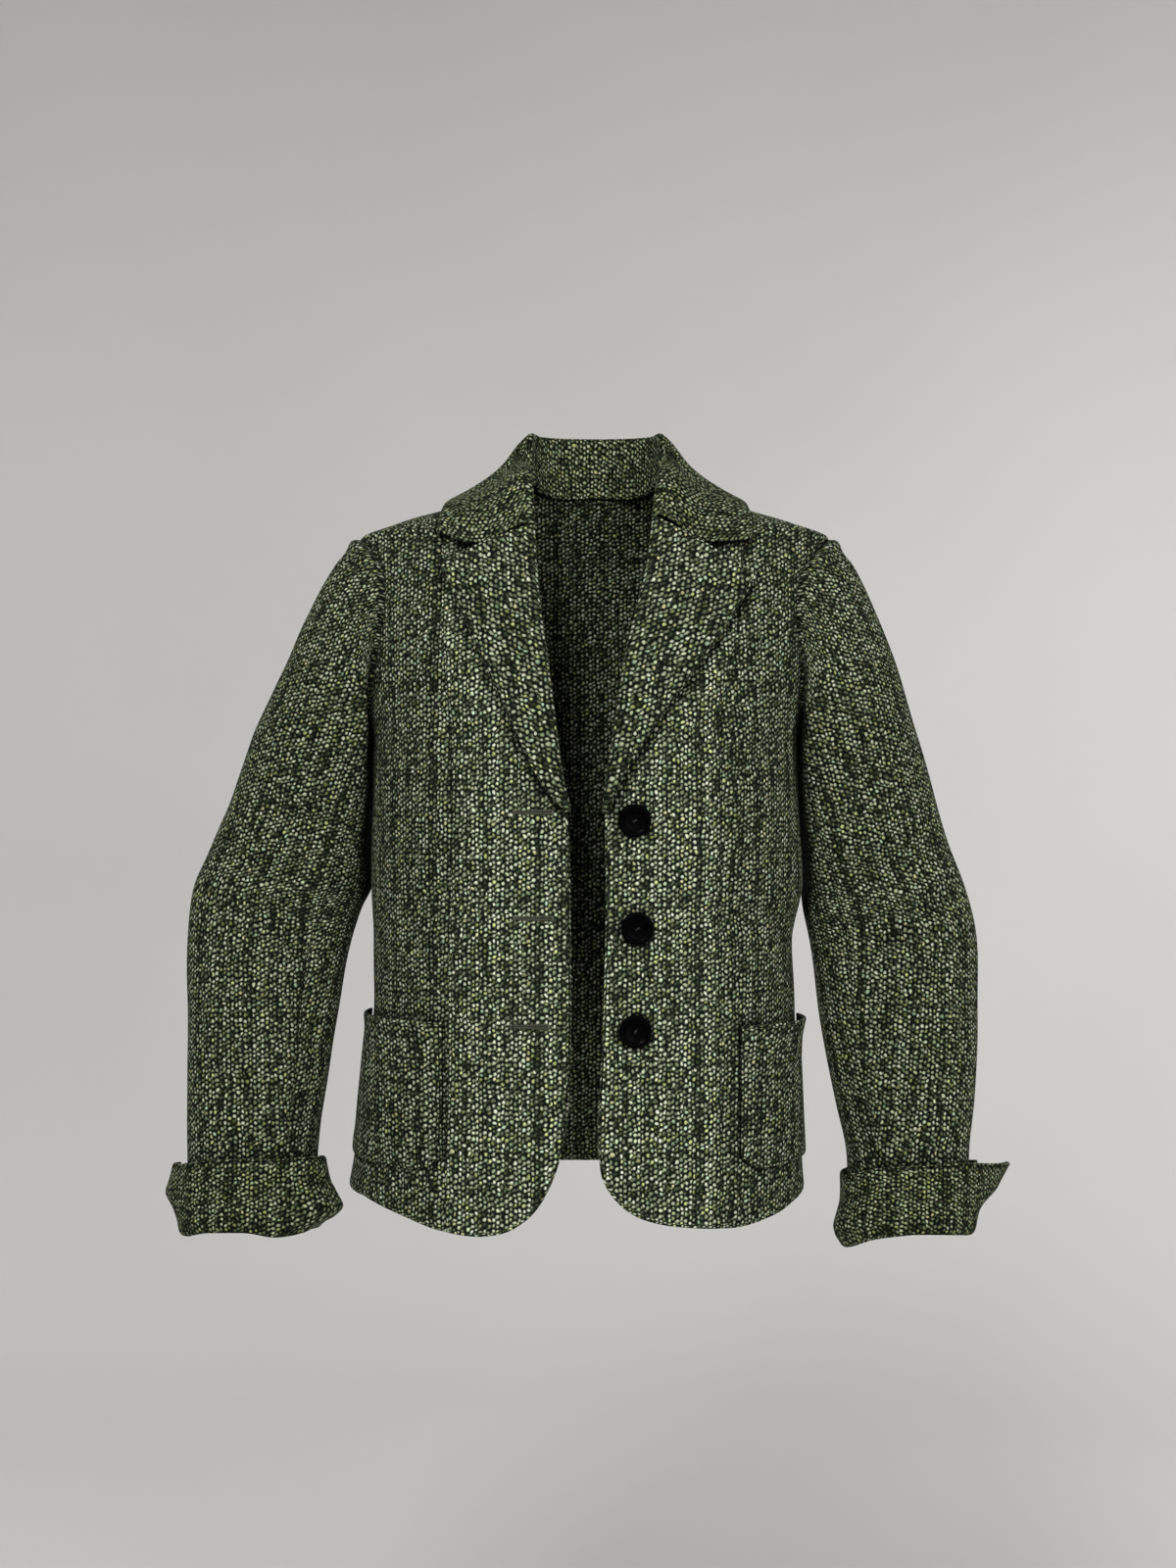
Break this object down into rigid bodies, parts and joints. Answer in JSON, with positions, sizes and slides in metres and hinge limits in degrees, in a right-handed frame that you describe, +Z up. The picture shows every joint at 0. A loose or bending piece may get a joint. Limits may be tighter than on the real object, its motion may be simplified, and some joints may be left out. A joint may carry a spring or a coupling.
{
  "type": "hacking jacket",
  "caption": "Women's single-breasted tweed jacket worn open, with notched lapels, patch pockets and turn-back sleeve cuffs.",
  "frame": {"origin": "centre of the neck opening, level with the points where the shoulder seams meet the neck", "axes": "+X the wearer's left, -Y the wearer's front, +Z up along the wearer"},
  "size_m": [0.675, 0.2658, 0.6697],
  "materials": {
    "back": "coarse nubby wool tweed, dark green ground with pale and lime flecks",
    "front_right": "coarse nubby wool tweed, dark green ground with pale and lime flecks",
    "front_left": "coarse nubby wool tweed, dark green ground with pale and lime flecks",
    "side_front_right": "coarse nubby wool tweed, dark green ground with pale and lime flecks",
    "side_front_left": "coarse nubby wool tweed, dark green ground with pale and lime flecks",
    "sleeve_top_right": "coarse nubby wool tweed, dark green ground with pale and lime flecks",
    "sleeve_top_left": "coarse nubby wool tweed, dark green ground with pale and lime flecks",
    "sleeve_under_right": "coarse nubby wool tweed, dark green ground with pale and lime flecks",
    "sleeve_under_left": "coarse nubby wool tweed, dark green ground with pale and lime flecks",
    "cuff_right": "coarse nubby wool tweed, dark green ground with pale and lime flecks",
    "cuff_left": "coarse nubby wool tweed, dark green ground with pale and lime flecks",
    "lapel_right": "coarse nubby wool tweed, dark green ground with pale and lime flecks",
    "lapel_left": "coarse nubby wool tweed, dark green ground with pale and lime flecks",
    "pocket_right": "coarse nubby wool tweed, dark green ground with pale and lime flecks",
    "pocket_left": "coarse nubby wool tweed, dark green ground with pale and lime flecks",
    "collar": "coarse nubby wool tweed, dark green ground with pale and lime flecks",
    "button_top": "glossy black, raised rim",
    "button_middle": "glossy black, raised rim",
    "button_bottom": "glossy black, raised rim"
  },
  "bodies": {
    "root": {"back": "back", "front_right": "front_right", "front_left": "front_left", "side_front_right": "side_front_right", "side_front_left": "side_front_left", "sleeve_top_right": "sleeve_top_right", "sleeve_top_left": "sleeve_top_left", "sleeve_under_right": "sleeve_under_right", "sleeve_under_left": "sleeve_under_left", "cuff_right": "cuff_right", "cuff_left": "cuff_left", "lapel_right": "lapel_right", "lapel_left": "lapel_left", "pocket_right": "pocket_right", "pocket_left": "pocket_left", "collar": "collar", "button_top": "button_top", "button_middle": "button_middle", "button_bottom": "button_bottom"}
  },
  "joints": []
}
